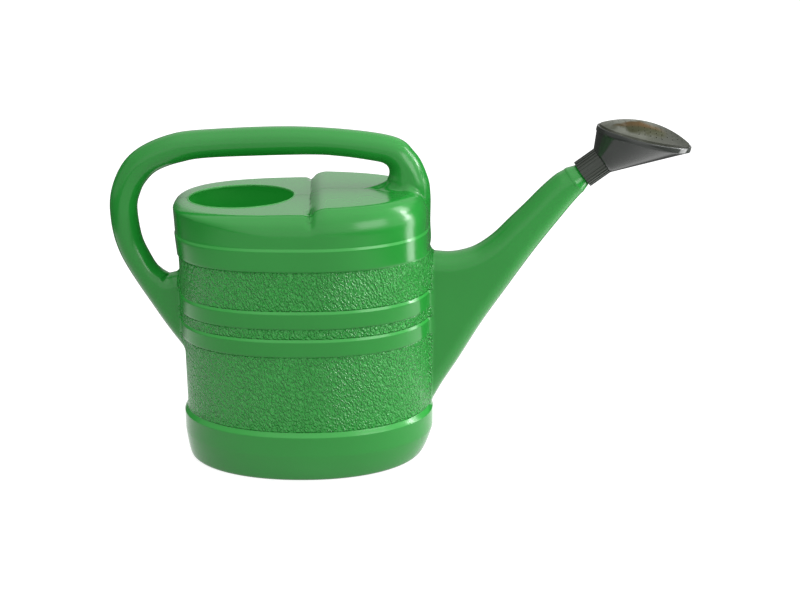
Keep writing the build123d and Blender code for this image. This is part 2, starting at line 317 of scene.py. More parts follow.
def read_chart(chart, x, z):
    """The chart's value at any place, between its points."""
    u = np.clip((x - CHART_X[0]) / CHART_STEP, 0, len(CHART_X) - 1.001)
    v = np.clip((z - CHART_Z[0]) / CHART_STEP, 0, len(CHART_Z) - 1.001)
    i, j = u.astype(int), v.astype(int)
    u, v = u - i, v - j
    low = chart[i, j] * (1 - u) + chart[i + 1, j] * u
    high = chart[i, j + 1] * (1 - u) + chart[i + 1, j + 1] * u
    return low * (1 - v) + high * v


print("chart of", len(CHART_X), "by", len(CHART_Z), "places")

# %% [markdown]
# ### The handle
# The handle is a loop of thick tube: a front leg that stands on the front end of the deck, a
# level grip, and a rear limb that bows out behind the tank and comes back to its rear wall.
# Its outer and its inner outline are drawn apart, and the plastic is what lies between them.
# Both run on inside the tank, so that the joins have something to blend with. The section is
# round on the grip and a little squarer, with flatter corners, down the leg.

# %% Handle outline
GRIP = 2 * handle_high.y
GRIP_TOP = handle_high.z
LEG_FRONT = PANEL_LENGTH + 0.3 * MM
LEG_BACK = LEG_FRONT - 43 * MM
LOOP_REAR = handle_low.x
HIDDEN_REAR, HIDDEN_FRONT = -0.033, 0.098  # where the outer outline closes inside the tank

# Back from the leg or ahead from the loop's rear, and down from the top, in millimetres
leg_outer = [(11, 141.4), (0, 124.4), (0, 98.4), (0, 71.4), (3.4, 51.4), (16.1, 27), (43.4, 8.9)]
rear_outer = [(107, 2.7), (63.9, 8.7), (27, 26.5), (6.8, 54.5), (0, 89.4), (8.5, 135.4)]
rear_outer += [(41.7, 195), (68.2, 235.3), (95, 266)]
leg_inner = [(9.6, 34.9), (1.6, 24.8), (0, 16.4), (4.2, 10), (14.7, 6.7), (50.5, 1.6)]
rear_inner = [(79.9, 3.0), (47.2, 8), (23.2, 16.6), (10.1, 28.7), (3.3, 41.2), (-0.5, 57.4)]
rear_inner += [(2.6, 86.7), (10.2, 106.3), (18, 119.8), (29.8, 127.8), (40.5, 125.5)]


def from_corner(points, x, z, way):
    """Outline points that are given along one way of X and down from a corner."""
    return [(x + way * along * MM, z - down * MM) for along, down in points]


outer = from_corner(leg_outer, LEG_FRONT, GRIP_TOP, -1) + [(0.0, GRIP_TOP)]
outer += from_corner(rear_outer, LOOP_REAR, GRIP_TOP, 1)
outer += [(HIDDEN_REAR, FOOT_TOP), (HIDDEN_FRONT, BANDS[0])]
inner = from_corner(leg_inner, LEG_BACK, GRIP_TOP - GRIP, -1) + [(0.0, GRIP_TOP - GRIP)]
inner += from_corner(rear_inner, LOOP_REAR + GRIP, GRIP_TOP - GRIP, 1) + [(0.0, COLLAR_LOW)]
handle_chart = np.maximum(outline_chart(closed_curve(outer)), -outline_chart(closed_curve(inner)))
print("handle", len(outer), "points outside", len(inner), "inside")

# %% Handle as a distance
LEG_FLATTER, LEG_X, LEG_Z = 0.35, (0.07, 0.1), (0.315, 0.34)  # the leg, and where it begins


def handle_distance(x, y, z):
    """The chart with a rounded section, which is flatter at its four corners down the leg."""
    leg = smoothstep(*LEG_X, x) * (1.0 - smoothstep(*LEG_Z, z))
    round_to, power = GRIP / 2 - 0.1 * MM, 2.0 - LEG_FLATTER * leg
    out, side = read_chart(handle_chart, x, z) + round_to, np.abs(y) - GRIP / 2 + round_to
    far = (np.maximum(out, 0.0) ** power + np.maximum(side, 0.0) ** power) ** (1.0 / power)
    return np.minimum(np.maximum(out, side), 0.0) + far - round_to


print("handle", round(GRIP, 4), "thick")

# %% [markdown]
# ### The spout
# The spout starts as a fin over most of the wall's height and narrows upwards to a round tube.
# Its outline is a closed curve too, and it is cut off square to the neck's axis. Its thickness
# falls slowly from 38 mm at the tank to 30 mm at the end. The edges are rounded by half of
# that, so the section turns into a circle where the outline gets as narrow as it is thick.

# %% Spout outline
NECK_ANGLE = math.radians(36.6)
NECK_AXIS = np.array((math.cos(NECK_ANGLE), 0.0, math.sin(NECK_ANGLE)))
NECK_SHOULDER = np.array((PANEL_LENGTH + 156.9 * MM, 0.0, 306.9 * MM))
CONE_LENGTH = 9.3 * MM
SPOUT_END = NECK_SHOULDER - CONE_LENGTH * NECK_AXIS
SPOUT_RADIUS = 15.1 * MM

# Forwards from the grained wall, and above the floor, in millimetres
spout_top = [(-25, 225), (3, 224.6), (19, 223.5), (33.4, 225.4), (48.6, 230.9), (65.7, 243)]
spout_top += [(82, 259.5), (98.3, 275.9), (114, 292.5), (128.7, 306.1)]
spout_under = [(133, 257.8), (107.5, 223.4), (83, 187.4), (56, 146.9), (32, 105.9), (14.8, 78)]
spout_under += [(5.5, 61.2), (-4, 46), (-25, 24)]
across = SPOUT_RADIUS * np.array((-NECK_AXIS[2], 0.0, NECK_AXIS[0]))
past = SPOUT_END + 0.03 * NECK_AXIS  # the outline runs on past the cut
outline = [(PANEL_LENGTH + out * MM, up * MM) for out, up in spout_top]
outline += [(x, z) for x, y, z in (SPOUT_END + across, past + across, past - across, SPOUT_END - across)]
outline += [(PANEL_LENGTH + out * MM, up * MM) for out, up in spout_under]
spout_chart = outline_chart(closed_curve(outline))
print("spout ends at", np.round(SPOUT_END, 4))

# %% Spout as a distance
FIN_PLACES = PANEL_LENGTH + np.array((0, 60, 100, 130, 150)) * MM
FIN_WIDTHS = np.array((19, 17.6, 16.6, 15.6, 15.1)) * MM  # half the thickness at those places
END_ROUND = 0.3 * MM


def spout_distance(x, y, z):
    """The chart with its thickness and round edges, cut off square to the neck's axis."""
    half = np.interp(x, FIN_PLACES, FIN_WIDTHS)
    fin = round_corner(read_chart(spout_chart, x, z), np.abs(y) - half, half)
    past_end = (x - SPOUT_END[0]) * NECK_AXIS[0] + (z - SPOUT_END[2]) * NECK_AXIS[2]
    return round_corner(fin, past_end, END_ROUND)


print("spout", 2 * FIN_WIDTHS.max(), "to", 2 * FIN_WIDTHS.min(), "thick")

# %% [markdown]
# ### The whole moulding
# Each join of the real can has a fillet of its own: 6 mm round the spout's root, 4 mm where the
# rear limb meets the wall, and hardly any in front of the leg. On the deck the leg spreads into
# a soft skirt, with a ridge along its middle where the two halves of the mould met. One fillet
# whose radius changes from place to place gives all of that without a seam.

# %% Whole moulding
SPOUT_FILLET, REAR_FILLET, FRONT_FILLET = 6 * MM, 4 * MM, 1.2 * MM
DECK_LESS, RIDGE_MORE, SKIRT_MORE = 1 * MM, 10 * MM, 6 * MM  # on the deck, against the rear
DECK_Z, FRONT_X, RIDGE_Y, SKIRT_X = (0.15, 0.26), (0.106, 0.126), (0.001, 0.006), (0.097, 0.11)


def hollow_distance(x, y, z):
    """Tank and spout in one, with the fillet between them."""
    return round_union(tank_distance(x, y, z), spout_distance(x, y, z), SPOUT_FILLET)


def can_distance(x, y, z):
    """Tank, handle and spout in one, with fillets as large as each join has."""
    front, ridge = smoothstep(*FRONT_X, x), 1.0 - smoothstep(*RIDGE_Y, np.abs(y))
    more = RIDGE_MORE * ridge - DECK_LESS + SKIRT_MORE * smoothstep(*SKIRT_X, x)
    fillet = (REAR_FILLET + more * smoothstep(*DECK_Z, z)) * (1 - front) + FRONT_FILLET * front
    return round_union(hollow_distance(x, y, z), handle_distance(x, y, z), fillet)


print("grip's middle", round(float(can_distance(0.0, 0.0, GRIP_TOP - GRIP / 2)), 4), "inside")

# %% [markdown]
# ### From the field to a skin
# A grid of cells fills the box round the can. Wherever a cell holds both sides of the surface
# it gets one point, and the points of neighbouring cells are joined to quads. This way of
# drawing a surface is called surface nets. It makes evenly sized quads, where the better known
# marching cubes would leave many thin triangles that show in the gloss.


# %% Surface nets
def rows_through(keys, step):
    """Rows no further than step apart, with one on each key place."""
    keys = sorted(set(np.round(keys, 6)))
    rows = []
    for low, high in zip(keys, keys[1:]):
        parts = max(1, math.ceil((high - low) / step - 1e-6))
        rows += [low + (high - low) * part / parts for part in range(parts)]
    return np.array(rows + [keys[-1]])


def draw_skin(values, lines):
    """Points and quads of the surface on which the values are zero."""
    inside = values < 0
    nx, ny, nz = values.shape
    corners, ways = list(np.ndindex(2, 2, 2)), np.eye(3, dtype=int)
    filled = np.zeros((nx - 1, ny - 1, nz - 1), np.int8)
    for i, j, k in corners:
        filled += inside[i : nx - 1 + i, j : ny - 1 + j, k : nz - 1 + k]
    cells = np.argwhere((filled > 0) & (filled < 8))
    number = np.full(filled.shape, -1)
    number[tuple(cells.T)] = np.arange(len(cells))
    total, hits = np.zeros((len(cells), 3)), np.zeros(len(cells))
    for axis in range(3):
        for i, j, k in corners:
            if (i, j, k)[axis]:
                continue
            start = cells + (i, j, k)
            end = start + ways[axis]
            low, high = values[tuple(start.T)], values[tuple(end.T)]
            crossed = (low < 0) != (high < 0)
            share = np.where(crossed, low / np.where(crossed, low - high, 1.0), 0.0)
            point = np.stack([lines[n][start[:, n]] for n in range(3)], 1)
            point[:, axis] += share * (lines[axis][end[:, axis]] - lines[axis][start[:, axis]])
            total[crossed] += point[crossed]
            hits += crossed
    quads = []
    for axis in range(3):
        at = np.argwhere(np.diff(inside, axis=axis))
        second, third = ways[(axis + 1) % 3], ways[(axis + 2) % 3]
        fits = np.all((at - second - third) >= 0, 1)
        at = at[fits & np.all(at < np.array(filled.shape), 1)]
        around = (at, at - second, at - second - third, at - third)
        ring = np.stack([number[tuple(cell.T)] for cell in around], 1)
        outward = inside[tuple(at.T)]
        ring[~outward] = ring[~outward][:, ::-1]
        quads.append(ring)
    return total / hits[:, None], np.concatenate(quads), cells


# %% [markdown]
# ### The skin of the can
# The grid swells and shrinks with the wall, so that the wall is upright in it, and it has rows
# on the edges of the bands, which keeps these crisp. The two sides are alike, so the field is
# worked out for one half and mirrored. Points on the upright wall keep the height of their row,
# and every point is then pushed along the field's slope until it lies on the surface.


# %% From grid places to the surface
LEAST_SLOPE = 0.05  # squared; a smaller one would throw a point too far


def slope_of(distance, points, step=0.3 * MM):
    """The field's slope at some points."""
    ways = step * np.eye(3)
    rise = [distance(*(points + way).T) - distance(*(points - way).T) for way in ways]
    return np.stack(rise, 1) / (2 * step)


def swell(points):
    """From the grid's places to the frame's: the wall is upright in the grid."""
    middle, half_length, half_width = wall_sizes(points[..., 2])
    x = middle + points[..., 0] * half_length / PANEL_LENGTH
    return np.stack((x, points[..., 1] * half_width / PANEL_WIDTH, points[..., 2]), -1)


def draw_half(distance, x_span, y_end, keys, cell):
    """Grid places, quads and row heights of a skin that is symmetric about Y = 0."""
    rows = rows_through(keys, cell)
    middles = (rows[1:] + rows[:-1]) / 2
    z_lines = np.concatenate(([rows[0] - cell / 2], middles, [rows[-1] + cell / 2]))
    x_lines = np.arange(x_span[0], x_span[1] + cell, cell)
    y_half = np.arange(cell / 2, y_end + cell, cell)
    grid = np.stack(np.meshgrid(x_lines, y_half, z_lines, indexing="ij"), -1)
    half = distance(*np.moveaxis(swell(grid), -1, 0))
    values = np.concatenate((half[:, ::-1], half), 1)
    points, quads, cells = draw_skin(values, (x_lines, np.concatenate((-y_half[::-1], y_half)), z_lines))
    return points, quads, rows[cells[:, 2]]


def settle(distance, points, levelled):
    """Pushes points onto the surface in three turns; the levelled ones keep their height."""
    for turn in range(3):
        slope = slope_of(distance, points)
        slope[levelled, 2] = 0.0
        reach = distance(*points.T) / np.maximum((slope**2).sum(1), LEAST_SLOPE)
        points = points - slope * reach[:, None]
    return points


# %% Skin of the can
CELL = 2.3 * MM
NEAR_WALL, STEEP = 1.5 * CELL, 0.85  # what counts as upright wall

keys = [-CELL, 0.0, 0.5 * MM, 1.2 * MM, DECK_HEIGHT, RAISED_HEIGHT, GRIP_TOP + 2 * CELL]
edges = LEVEL_HEIGHTS[(LEVEL_HEIGHTS >= FOOT_TOP) & (LEVEL_HEIGHTS < DECK_HEIGHT)]
keys += [edge + shift * MM for edge in edges for shift in (-0.4, 0.0, 0.4)]
x_span = (handle_low.x - 2 * CELL, SPOUT_END[0] + 8 * CELL)
points, quads, row = draw_half(can_distance, x_span, foot_high.y + 2 * CELL, keys, CELL)
placed = swell(points)
on_tank = np.abs(tank_distance(*placed.T)) < NEAR_WALL
steep = np.abs(slope_of(can_distance, placed)[:, 2]) < STEEP
levelled = on_tank & steep & (row > FOOT_ROUND) & (row < LEDGE_HEIGHT + CELL)
points[levelled, 2] = row[levelled]
points = settle(can_distance, swell(points), levelled)
print(len(points), "points,", int(levelled.sum()), "of them on their row's height")

# %% [markdown]
# ### The filling hole
# On the real can the hole is cut out of the deck after blowing, and its edge is left a little
# raised. Faces of the skin inside the hole's oval are taken away, the points round it are
# moved onto the oval, and a rounded lip covers the cut edge. A boolean cut would do too, but
# it leaves thin faces along the edge, and those show in the gloss.

# %% Cut the hole and make the skin
NEAR_DECK = 6 * MM


def hole_share(x, y):
    """1 on the hole's edge, less inside it."""
    return np.hypot((x - HOLE_MIDDLE) / HOLE_LENGTH, y / HOLE_WIDTH)


def cut_hole(points, quads):
    """Takes the faces inside the hole away and draws its edge onto the oval."""
    middle = points[quads].mean(1)
    near_deck = np.abs(middle[:, 2] - DECK_HEIGHT) < NEAR_DECK
    inside = near_deck & (hole_share(middle[:, 0], middle[:, 1]) < 1.0)
    edge = np.intersect1d(quads[inside], quads[~inside])
    share = hole_share(*points[edge, :2].T)
    points[edge, 0] = HOLE_MIDDLE + (points[edge, 0] - HOLE_MIDDLE) / share
    points[edge, 1] /= share
    quads = quads[~inside]
    used = np.unique(quads)
    renumber = np.full(len(points), -1)
    renumber[used] = np.arange(len(used))
    return points[used], renumber[quads]


points, quads = cut_hole(points, quads)
can = make_piece("can_skin", points, quads, "can", "green_moulding")
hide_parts("tank_foot", "tank_wall", "tank_top", "handle", "spout")

# The gloss would show every cell, so each point takes the field's own slope as its normal
normals = slope_of(can_distance, points, 0.5 * MM)
normals /= np.linalg.norm(normals, axis=1)[:, None]
can.data.normals_split_custom_set_from_vertices(normals.tolist())

# %% Lip of the hole
around = np.linspace(0, 2 * math.pi, 145)[:-1]
# Outwards from the hole's edge and up from the deck, in millimetres
LIP = [(3.0, -2.4), (0.8, -1.7), (0.15, -1.5), (0.0, -1.2), (0.0, -0.2), (0.2, 0.25), (0.7, 0.5)]
LIP += [(1.3, 0.4), (2.2, -0.25)]


def lip_ring(out, up):
    """A ring round the hole that follows the deck."""
    x = HOLE_MIDDLE + (HOLE_LENGTH + out * MM) * np.cos(around)
    y = (HOLE_WIDTH + out * MM) * np.sin(around)
    return np.stack((x, y, deck_height(x, y) + up * MM), 1)


def sweep_rings(rings, closed=False):
    """Points and faces of rings joined one to the next."""
    count = len(rings[0])
    faces = []
    for ring in range(len(rings) if closed else len(rings) - 1):
        low, high = ring * count, (ring + 1) % len(rings) * count
        for at in range(count):
            after = (at + 1) % count
            faces.append((low + at, low + after, high + after, high + at))
    return np.concatenate(rings), faces


lip_points, lip_faces = sweep_rings([lip_ring(out, up) for out, up in LIP])
lip_faces = [face[::-1] for face in lip_faces]
lip = make_piece("hole_lip", lip_points, lip_faces, "can", "green_moulding")

# %% [markdown]
# ### The inside
# Through the hole the far wall shows its inner side. It follows the outside two millimetres
# further in, and its faces look inwards. Coarser cells are enough there.

# %% Inner side
WALL = 2.0 * MM
INNER_CELL = 5 * MM
OPEN_END = 2.5 * MM  # the lining stops that far before the spout's end


def inner_distance(x, y, z):
    """The hollow, one wall's thickness further in than the outside."""
    return hollow_distance(x, y, z) + WALL


keys = [-INNER_CELL, WALL, 0.1, 0.2, DECK_HEIGHT, RAISED_HEIGHT + 2 * INNER_CELL]
x_span = (-PANEL_LENGTH - 0.02, SPOUT_END[0] + 0.01)
points, quads, row = draw_half(inner_distance, x_span, foot_high.y + INNER_CELL, keys, INNER_CELL)
points = settle(inner_distance, swell(points), np.zeros(len(points), bool))
points, quads = cut_hole(points, quads)
at_end = (points[quads].mean(1) - SPOUT_END) @ NECK_AXIS > -OPEN_END
inner = make_piece("can_inside", points, quads[~at_end][:, ::-1], "can", "green_moulding")

# %% [markdown]
# ### The end of the spout
# The spout ends in a short taper and a plain neck, which the rose is pushed over. Both are
# round, so one profile turned about the neck's axis draws them.

# %% Taper and neck
NECK_DOWN = np.array((NECK_AXIS[2], 0.0, -NECK_AXIS[0]))
SIDE = np.array((0.0, 1.0, 0.0))


def circle(middle, radius, count):
    """A ring round the neck's axis."""
    turn = np.arange(count) * 2 * math.pi / count
    return middle + radius * (np.outer(np.cos(turn), NECK_DOWN) + np.outer(np.sin(turn), SIDE))


# Radius, and place along the axis from the neck's shoulder, in millimetres
neck_profile = [(14.9, -12.4), (15.3, -12.0), (15.35, -11.6), (15.35, -9.7), (15.2, -9.2)]
neck_profile += [(12.0, -0.5), (11.7, -0.1), (11.3, 0.0), (11.0, 0.3), (11.0, 20.4), (10.8, 20.9)]
neck_profile += [(10.3, 21.0), (9.6, 21.0), (9.2, 20.6), (9.2, -9.0)]
neck_rings = [circle(NECK_SHOULDER + at * MM * NECK_AXIS, radius * MM, 96) for radius, at in neck_profile]
neck = make_piece("spout_neck", *sweep_rings(neck_rings), "can", "green_moulding")

# %% [markdown]
# ## The rose
# Collar, funnel and rim are one black injection moulding, and the domed face is seated in the
# rim. Collar and face need nothing more than the frame's own solids. The funnel runs straight
# from the round collar to the oval rim. Rings that go from a circle to an oval draw that more
# smoothly than the solid does. A few more rings make the rim, the seat for the face and the
# lining that leads back to the collar.

# %% Funnel
COLLAR_LENGTH, FUNNEL_RADIUS = 24.5 * MM, 15.0 * MM
ROSE_REACH, ROSE_DROP = 45.4 * MM, 8.0 * MM  # from the collar's end to the rim's middle
RIM_ANGLE = NECK_ANGLE + math.radians(41.0)
RIM_HALF_LENGTH, RIM_HALF_WIDTH = 49.8 * MM, 39.0 * MM
ROUND = 160  # points in each ring
collar_end = NECK_SHOULDER + COLLAR_LENGTH * NECK_AXIS
rim_axis = np.array((math.cos(RIM_ANGLE), 0.0, math.sin(RIM_ANGLE)))
rim_down = np.array((math.sin(RIM_ANGLE), 0.0, -math.cos(RIM_ANGLE)))
rim_middle = collar_end + ROSE_REACH * NECK_AXIS + ROSE_DROP * NECK_DOWN
turn = np.arange(ROUND) * 2 * math.pi / ROUND


def rim_ring(inset, up):
    """An oval ring in the rim, inset from its outer edge, so far above its underside."""
    long_way = np.outer((RIM_HALF_LENGTH - inset * MM) * np.cos(turn), rim_down)
    short_way = np.outer((RIM_HALF_WIDTH - inset * MM) * np.sin(turn), SIDE)
    return rim_middle + up * MM * rim_axis + long_way + short_way


def collar_ring(inset):
    """A round ring at the collar's end, inset from the funnel's outside."""
    return circle(collar_end, FUNNEL_RADIUS - inset * MM, ROUND)


def between(first, last, shares):
    """Rings on the straight way from the first ring to the last."""
    return [first + (last - first) * share for share in shares]


# Inset and height of the rings from the rim's underside over its seat to the lining, in millimetres
RIM = [(0.75, 0.1), (0.35, 0.15), (0.1, 0.3), (0, 0.7), (0, 4.9), (0.1, 5.3), (0.35, 5.55)]
RIM += [(0.7, 5.6), (1.5, 5.6), (1.6, 5.5), (1.6, 3.2), (2.6, 3.2), (2.6, 0)]
flank = between(collar_ring(0), rim_ring(0.8, 0), np.linspace(0, 1, 25) ** 0.9)
lining = between(rim_ring(2.6, 0), collar_ring(1.8), np.linspace(0, 1, 13)[1:-1])
rings = [collar_ring(1.8), collar_ring(0.3)] + flank + [rim_ring(*ring) for ring in RIM] + lining
funnel = make_piece("funnel", *sweep_rings(rings, closed=True), "rose", "black_funnel")
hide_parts("rose_funnel")

# %% [markdown]
# ## Finishes
# The can is dyed right through, so its colour hardly changes; what makes it look real is how
# the mould's surface turns the light. Effects that more than one finish needs are small node
# groups which give out a value or a height only, and each finish mixes them as it likes. The
# helpers here add a node and fill its inputs in one line, with numbers or with links.


# %% Node helpers
def fill(tree, node, inputs):
    """Puts numbers, colours of three numbers, or links on a node's inputs."""
    for key, value in inputs.items():
        if isinstance(value, bpy.types.NodeSocket):
            tree.links.new(value, node.inputs[key])
        else:
            is_color = node.inputs[key].type == "RGBA"
            node.inputs[key].default_value = (*value, 1.0) if is_color else value


def add_node(tree, kind, inputs, **settings):
    """Adds a shader node with its settings and inputs, and returns its outputs."""
    node = tree.nodes.new("ShaderNode" + kind)
    for key, value in settings.items():
        setattr(node, key, value)
    fill(tree, node, inputs)
    return node.outputs


def calc(tree, operation, first, second=0.0, third=0.0):
    """One step of arithmetic."""
    inputs = {0: first, 1: second, 2: third}
    return add_node(tree, "Math", inputs, operation=operation)[0]


def scaled(tree, value, factor, offset):
    """The value times a factor, plus an offset."""
    return calc(tree, "MULTIPLY_ADD", value, factor, offset)


def times(tree, first, *others):
    """The product of two or more values."""
    for other in others:
        first = calc(tree, "MULTIPLY", first, other)
    return first


def remap(tree, value, low, high, new_low=0.0, new_high=1.0):
    """Maps a value from one range to another with a soft start and end."""
    inputs = {"Value": value, "From Min": low, "From Max": high, "To Min": new_low, "To Max": new_high}
    return add_node(tree, "MapRange", inputs, interpolation_type="SMOOTHSTEP")[0]


# %% Group helpers
def on_heights(tree, z, spans, soft):
    """1 where the height is in one of the spans; the edges soften so far to both sides."""
    total = 0.0
    for low, high in spans:
        over, under = remap(tree, z, low - soft, low + soft), remap(tree, z, high + soft, high - soft)
        total = scaled(tree, over, under, total)
    return total


def place_of(tree):
    """Object coordinates, and their three parts."""
    place = add_node(tree, "TexCoord", {})["Object"]
    return (place, *add_node(tree, "SeparateXYZ", {0: place}))


def new_group(name, output, **inputs):
    """A node group with float inputs: the tree, its inputs, and a place of object coordinates."""
    tree = bpy.data.node_groups.new(name, "ShaderNodeTree")
    for key, value in inputs.items():
        tree.interface.new_socket(key, in_out="INPUT", socket_type="NodeSocketFloat").default_value = value
    tree.interface.new_socket(output, in_out="OUTPUT", socket_type="NodeSocketFloat")
    return tree, tree.nodes.new("NodeGroupInput").outputs, *place_of(tree)


def give_out(tree, value):
    """Ends a node group with the value that it gives out."""
    tree.links.new(value, tree.nodes.new("NodeGroupOutput").inputs[0])
    print("effect", tree.name, len(tree.nodes), "nodes")
    return tree


def use_group(tree, group, **inputs):
    """The one output of a node group."""
    return add_node(tree, "Group", inputs, node_tree=group)[0]


# %% [markdown]
# ### Effects on every moulding
# `slow_change` is the slight unevenness of every moulding: a soft noise, spread over the whole
# range from 0 to 1. `mould_seam` is the fine ridge where the two halves of the mould met, all
# along Y = 0. Both need only a place, so they fit any piece.

# %% Slow change and mould seam
tree, given, place, x, y, z = new_group("slow_change", "Value", Scale=8.0)
noise = {"Vector": place, "Scale": given["Scale"], "Detail": 3.0, "Roughness": 0.5}
noise = add_node(tree, "TexNoise", noise)["Fac"]
slow_change = give_out(tree, remap(tree, noise, 0.3, 0.7))

tree, given, place, x, y, z = new_group("mould_seam", "Height", Half_Width=0.8 * MM)
share = calc(tree, "DIVIDE", calc(tree, "ABSOLUTE", y), given["Half_Width"])
mould_seam = give_out(tree, remap(tree, share, 1.0, 0.2))

# %% [markdown]
# ### The grain
# The three panels of the wall have a grain that was etched in the mould: small pebbles, a
# little longer upwards, whose rows slant more the higher they are. A smooth Voronoi pattern
# gives the pebbles. Before it, the place is turned about Z by an angle that grows with height,
# stretched, and bent by a slow noise, so that no two rows are alike. A fine noise on top breaks
# the pebbles' gloss. `in_panels` is 1 on those panels and 0 on bands, handle and spout.

# %% Leather grain
GRAIN_TWIST, GRAIN_STRETCH, GRAIN_BEND = 3.0, 0.62, 0.0035

tree, given, place, x, y, z = new_group("leather_grain", "Height", Scale=540.0)
twist = {"Vector": place, "Angle": times(tree, z, GRAIN_TWIST)}
twist = add_node(tree, "VectorRotate", twist, rotation_type="Z_AXIS")[0]
stretch = {"Vector": twist, "Scale": (1.0, 1.0, GRAIN_STRETCH)}
stretch = add_node(tree, "Mapping", stretch)[0]
bend = {"Vector": place, "Scale": 160.0, "Detail": 2.0}
bend = {0: add_node(tree, "TexNoise", bend)["Color"], 1: (0.5, 0.5, 0.5)}
bend = {0: add_node(tree, "VectorMath", bend, operation="SUBTRACT")[0], "Scale": GRAIN_BEND}
bend = {0: stretch, 1: add_node(tree, "VectorMath", bend, operation="SCALE")[0]}
grain_place = add_node(tree, "VectorMath", bend, operation="ADD")[0]
pebbles = {"Vector": grain_place, "Scale": given["Scale"], "Randomness": 1.0}
pebbles = add_node(tree, "TexVoronoi", pebbles, feature="SMOOTH_F1")["Distance"]
fine = {"Vector": grain_place, "Scale": 700.0, "Detail": 2.0}
fine = add_node(tree, "TexNoise", fine)["Fac"]
height = scaled(tree, fine, 0.35, remap(tree, pebbles, 0.75, 0.1))
leather_grain = give_out(tree, height)

# %% In the panels
panels = [(FOOT_TOP + FOOT_BEVEL, BANDS[0])]
panels += [(BANDS[0] + BAND_HEIGHT, BANDS[1]), (BANDS[1] + BAND_HEIGHT, COLLAR_LOW)]

tree, given, place, x, y, z = new_group("in_panels", "Mask")
spans = [(low + 0.5 * MM, high - 0.5 * MM) for low, high in panels]
reach = calc(tree, "ABSOLUTE", x)
on_wall = remap(tree, reach, PANEL_LENGTH + 4 * MM, PANEL_LENGTH + 1.5 * MM)
in_panels = give_out(tree, times(tree, on_heights(tree, z, spans, 0.7 * MM), on_wall))

# %% [markdown]
# ### Steps and crease
# The first mask is 1 on the short slopes on top of foot, bands and shoulder band. They face up
# into the light, and the paler green painted there is a painted highlight for them. The second
# is painted shade: a dark line along the foot of the step in the deck, where the corner lies in
# shadow. Both are masks over the height, so no picture has to be painted and laid onto the skin.

# %% Thin steps and deck crease
strips = [(FOOT_TOP, FOOT_TOP + FOOT_BEVEL), (LEDGE_HEIGHT - 2.8 * MM, LEDGE_HEIGHT)]
strips += [(low + BAND_HEIGHT - BAND_BEVEL, low + BAND_HEIGHT) for low in BANDS]

# Painted highlight mask: where the paler green of the lit step slopes goes
tree, given, place, x, y, z = new_group("thin_step_highlight", "Mask")
spans = [(low + 0.1 * MM, high + 0.1 * MM) for low, high in strips]
on_wall = remap(tree, calc(tree, "ABSOLUTE", x), PANEL_LENGTH + MM, PANEL_LENGTH - 2 * MM)
thin_step_highlight = give_out(tree, times(tree, on_heights(tree, z, spans, 0.5 * MM), on_wall))

# Painted shade mask: the dark line at the foot of the deck's step, where the corner lies in shadow
tree, given, place, x, y, z = new_group("deck_crease_shade", "Mask", Half_Width=1.1 * MM)
askew = scaled(tree, y, STEP_SKEW, x)
across = calc(tree, "ABSOLUTE", calc(tree, "SUBTRACT", askew, STEP_AT + 0.4 * MM))
line = remap(tree, calc(tree, "DIVIDE", across, given["Half_Width"]), 1.0, 0.1)
spans = [(DECK_HEIGHT - 2.5 * MM, DECK_HEIGHT + 6.5 * MM)]
deck_crease_shade = give_out(tree, times(tree, line, on_heights(tree, z, spans, 1.5 * MM)))

# %% [markdown]
# ### From effects to a finish
# Every finish is one Principled surface. These helpers make it, blend colours and turn a height
# into a bump. `changed_color` is what all plastics here share: two shades of one colour, and the
# slow change drifts between them.


# %% Material helpers
def new_material(name):
    """An empty material with a Principled surface, and its node tree."""
    material = bpy.data.materials.new(name)
    material.use_nodes = True
    return material, material.node_tree


def finish(material, color, rough, more=None):
    """Gives the material's Principled surface its colour, its roughness and what else it needs."""
    tree = material.node_tree
    fill(tree, tree.nodes["Principled BSDF"], {"Base Color": color, "Roughness": rough, **(more or {})})
    print("finish", material.name, len(tree.nodes), "nodes")


def bump(tree, height, strength, distance, **more):
    """Turns a height into a normal."""
    return add_node(tree, "Bump", {"Height": height, "Strength": strength, "Distance": distance, **more})[0]


def mix_color(tree, share, first, second):
    """Blends two colours; these are the Mix node's places for a share and two colours."""
    return add_node(tree, "Mix", {0: share, 6: first, 7: second}, data_type="RGBA")[2]


def changed_color(tree, scale, first, second):
    """The slow change at a scale, and the colour that drifts with it."""
    change = use_group(tree, slow_change, Scale=scale)
    return change, mix_color(tree, change, first, second)


# %% [markdown]
# ### Green moulding
# Polyethylene with a satin gloss. The grain stands only in the panels, where the green is a
# little lighter and the gloss duller. The thin steps get a painted highlight of paler green, and
# along crease and seam a darker green with less gloss is painted shade, as if they lay in
# shadow. The seam also gets a bump of its own and runs over handle, deck and spout.

# %% Green moulding
green, tree = new_material("green_moulding")
panel, seam_and_shade = use_group(tree, in_panels), use_group(tree, mould_seam)
crease_shade = use_group(tree, deck_crease_shade)
change, color = changed_color(tree, 8.0, (0.012, 0.242, 0.026), (0.015, 0.265, 0.031))
color = mix_color(tree, times(tree, panel, 0.6), color, (0.018, 0.33, 0.036))
# Painted highlight: a paler green on the thin steps, which face up into the light
color = mix_color(tree, use_group(tree, thin_step_highlight), color, (0.03, 0.34, 0.048))
# Painted shade: a darker green along the seam and the deck crease, as if in shadow
color = mix_color(tree, times(tree, seam_and_shade, 0.5), color, (0.01, 0.1, 0.018))
color = mix_color(tree, times(tree, crease_shade, 0.45), color, (0.006, 0.09, 0.012))
rough = scaled(tree, panel, 0.08, 0.17)
rough = scaled(tree, change, 0.05, rough)
